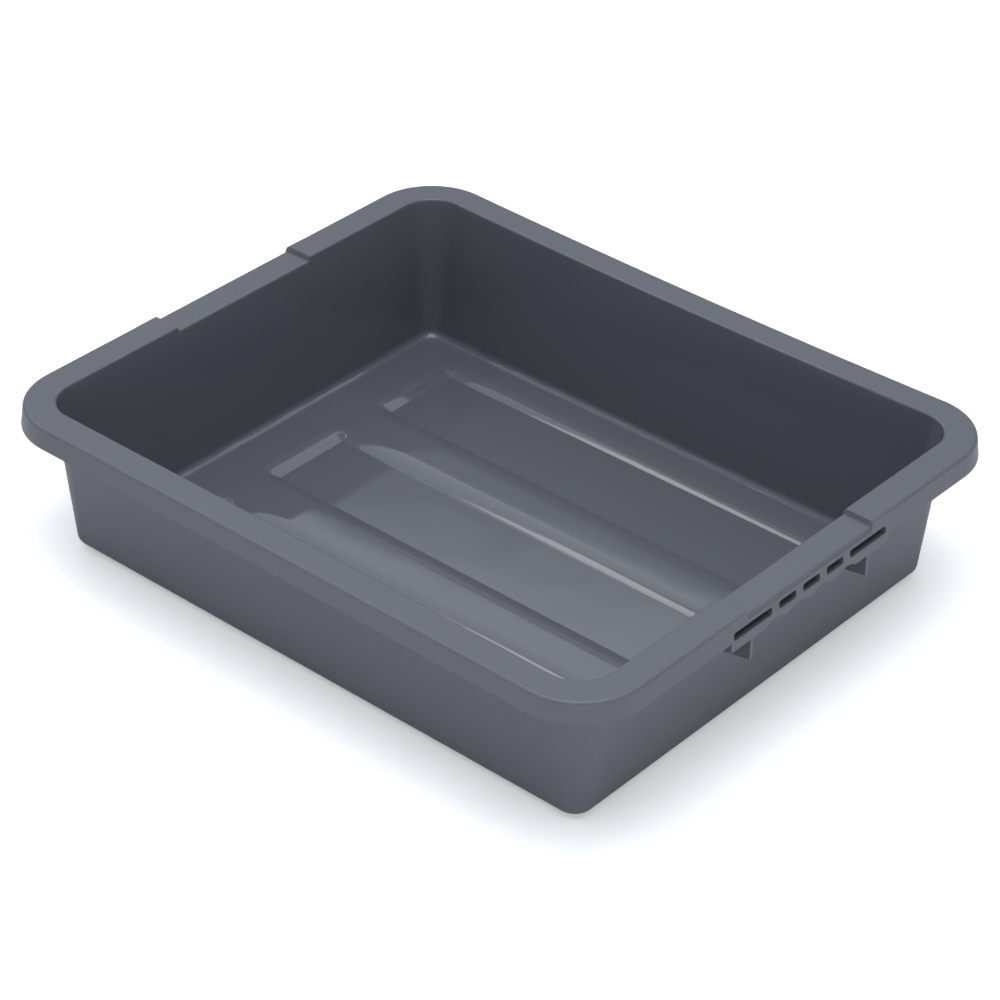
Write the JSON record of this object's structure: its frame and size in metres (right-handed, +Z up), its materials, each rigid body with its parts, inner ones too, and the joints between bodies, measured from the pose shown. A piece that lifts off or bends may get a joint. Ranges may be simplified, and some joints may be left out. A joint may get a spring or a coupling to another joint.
{
  "type": "bus tub",
  "caption": "Shallow grey plastic bus tub with drafted walls, a wide flat rim with a turned-down skirt, moulded finger grips at both short ends and sunken lengthwise floor panels.",
  "frame": {"origin": "middle of the footprint, on the surface that the tub stands on", "axes": "+X along the length, +Y across the width, +Z up; the two grips are at -X and +X"},
  "size_m": [0.55, 0.46, 0.1225],
  "materials": {
    "tub": "satin"
  },
  "bodies": {
    "root": {"tub": "tub"}
  },
  "joints": []
}
